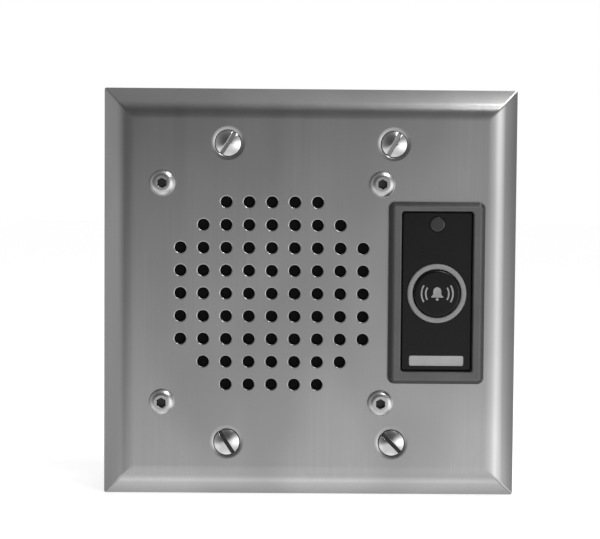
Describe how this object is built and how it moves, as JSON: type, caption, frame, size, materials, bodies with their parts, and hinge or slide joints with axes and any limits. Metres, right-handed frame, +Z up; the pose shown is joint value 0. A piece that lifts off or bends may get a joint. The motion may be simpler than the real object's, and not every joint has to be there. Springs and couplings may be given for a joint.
{
  "type": "talk-back call button plate",
  "caption": "Flush stainless wall plate with a perforated speaker field and a ringed push-to-call button in a black module with indicator and blank label.",
  "frame": {"origin": "centre of the plate's rear rim, in the plane that rests on the wall", "axes": "+X to the right seen from the front, +Y into the wall, +Z up; the front face looks along -Y"},
  "size_m": [0.116, 0.0502, 0.1142],
  "materials": {
    "stainless_sheet": "satin stainless sheet",
    "screw_bright": "polished stainless screws",
    "screw_satin": "stainless button-head screws",
    "spacer_nylon": "natural nylon",
    "cloth_black": "black woven speaker cloth",
    "foam_black": "closed-cell foam",
    "basket_steel": "black painted steel pressing",
    "cone_paper": "treated paper cone",
    "surround_rubber": "rubber half roll",
    "spider_cloth": "resin-stiffened cloth",
    "coil_copper": "enamelled copper on a former",
    "plated_steel": "zinc-plated steel",
    "ferrite": "sintered ferrite",
    "fibre_strip": "phenolic board",
    "tinned_brass": "tinned brass",
    "lead_pvc": "red insulated wire",
    "clamp_steel": "zinc-plated steel stamping",
    "pillar_brass": "nickel-plated brass pillars",
    "board_green": "glass-epoxy circuit board",
    "screw_zinc": "zinc-plated pan-head screws",
    "terminal_green": "moulded terminal block",
    "lamination_steel": "silicon steel laminations",
    "winding_tape": "yellow winding tape",
    "capacitor_sleeve": "sleeved aluminium can",
    "chip_epoxy": "moulded epoxy package",
    "trimmer_blue": "moulded trimmer case",
    "rotor_white": "moulded slotted rotor",
    "resistor_body": "lacquered film resistors",
    "bezel_black": "black moulded plastic",
    "panel_black": "black overlay panel",
    "ring_grey": "grey ring",
    "label_silver": "blank silver label",
    "lens_smoke": "smoked indicator lens",
    "led_red": "diffused light-emitting diode",
    "button_black": "black moulded cap",
    "symbol_white": "pale printed symbol",
    "guide_white": "acetal guide",
    "seal_rubber": "rubber seal",
    "spring_steel": "spring wire",
    "switch_case": "moulded switch case",
    "plunger_white": "acetal plunger",
    "solder": "solder joints",
    "connector_white": "moulded connector",
    "ribbon_grey": "flat ribbon cable"
  },
  "bodies": {
    "plate_assembly": {"faceplate": "stainless_sheet", "mounting_screws": "screw_bright", "speaker_screws": "screw_satin", "clamp_spacers": "spacer_nylon", "acoustic_cloth": "cloth_black", "speaker_gasket": "foam_black", "speaker_basket": "basket_steel", "cone_surround": "surround_rubber", "coil_spider": "spider_cloth", "magnet_top_plate": "plated_steel", "speaker_magnet": "ferrite", "magnet_yoke": "plated_steel", "terminal_strip": "fibre_strip", "solder_lugs": "tinned_brass", "speaker_leads": "lead_pvc", "speaker_clamp": "clamp_steel", "board_pillars": "pillar_brass", "main_board": "board_green", "board_screws": "screw_zinc", "terminal_block": "terminal_green", "terminal_screws": "screw_zinc", "transformer_core": "lamination_steel", "transformer_winding": "winding_tape", "capacitors": "capacitor_sleeve", "amplifier_chip": "chip_epoxy", "chip_pins": "tinned_brass", "volume_trimmer": "trimmer_blue", "resistors": "resistor_body", "button_bezel": "bezel_black", "bezel_gasket": "foam_black", "call_panel": "panel_black", "trim_ring": "ring_grey", "label_strip": "label_silver", "indicator_lens": "lens_smoke", "indicator_led": "led_red", "led_legs": "tinned_brass", "button_guide": "guide_white", "button_seal": "seal_rubber", "button_spring": "spring_steel", "switch_board": "board_green", "switch_body": "switch_case", "solder_pins": "solder", "module_screws": "screw_zinc", "module_clips": "clamp_steel", "clip_screws": "screw_zinc", "ribbon_plug": "connector_white", "ribbon_socket": "connector_white", "ribbon_lead": "ribbon_grey"},
    "call_button": {"push_button": "button_black", "button_symbol": "symbol_white"},
    "switch_rod": {"switch_plunger": "plunger_white"},
    "cone_assembly": {"speaker_cone": "cone_paper", "dust_cap": "cone_paper", "voice_coil": "coil_copper"},
    "volume_rotor": {"trimmer_rotor": "rotor_white"}
  },
  "joints": [
    {"name": "call_press", "type": "slide", "parent": "plate_assembly", "child": "call_button", "axis": [0, 1, 0], "range_m": [0, 0.0015], "stiffness_N_per_m": 1000, "springref_m": -0.0015, "deforming": ["button_spring"]},
    {"name": "switch_press", "type": "slide", "parent": "plate_assembly", "child": "switch_rod", "axis": [0, 1, 0], "range_m": [0, 0.0015]},
    {"name": "cone_travel", "type": "slide", "parent": "plate_assembly", "child": "cone_assembly", "axis": [0, 1, 0], "range_m": [-0.0005, 0.0005], "stiffness_N_per_m": 1600, "deforming": ["cone_surround", "coil_spider"]},
    {"name": "volume_turn", "type": "hinge", "parent": "plate_assembly", "child": "volume_rotor", "pos_m": [-0.0367, 0.0296, -0.012], "axis": [0, 1, 0], "range_deg": [-135, 135]}
  ],
  "couplings": [
    {"joint": "switch_press", "follows": "call_press", "ratio": 1}
  ]
}
